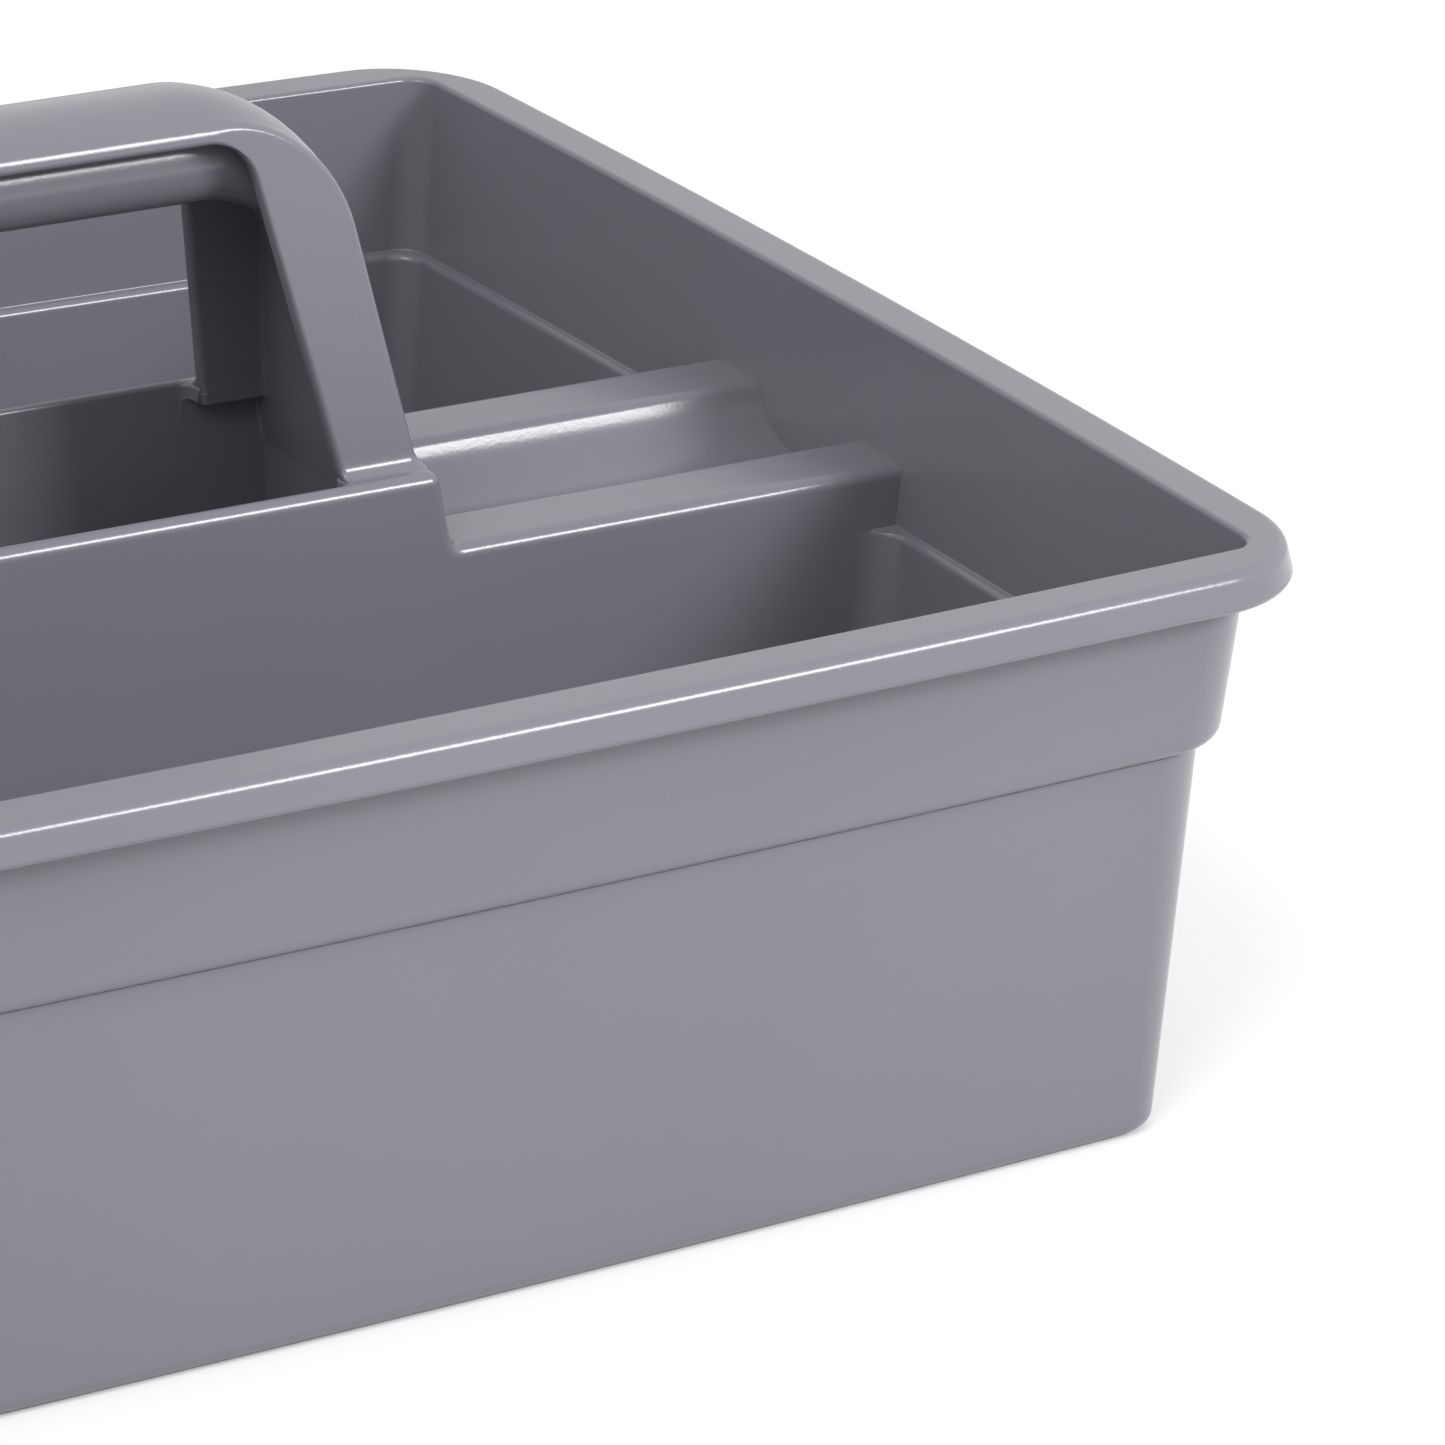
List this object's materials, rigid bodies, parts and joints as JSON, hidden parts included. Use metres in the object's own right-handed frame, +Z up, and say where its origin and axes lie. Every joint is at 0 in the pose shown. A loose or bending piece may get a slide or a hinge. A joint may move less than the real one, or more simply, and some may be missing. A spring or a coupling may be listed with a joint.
{
  "type": "cleaning caddy",
  "caption": "Open rectangular carry caddy with a flanged rim, a hollow centre rib with a trough along its top, and an arch handle.",
  "frame": {"origin": "centre of the footprint, on the plane that the base rests on", "axes": "+X along the length and the handle, +Y to the back, +Z up"},
  "size_m": [0.418, 0.2878, 0.1569],
  "materials": {
    "grey_plastic": "satin moulded polyethylene, mid grey"
  },
  "bodies": {
    "root": {"tub_shell": "grey_plastic", "rim_flange": "grey_plastic", "left_trough_rib": "grey_plastic", "right_trough_rib": "grey_plastic", "handle_base": "grey_plastic", "handle_arch": "grey_plastic", "grip_bar": "grey_plastic"}
  },
  "joints": []
}
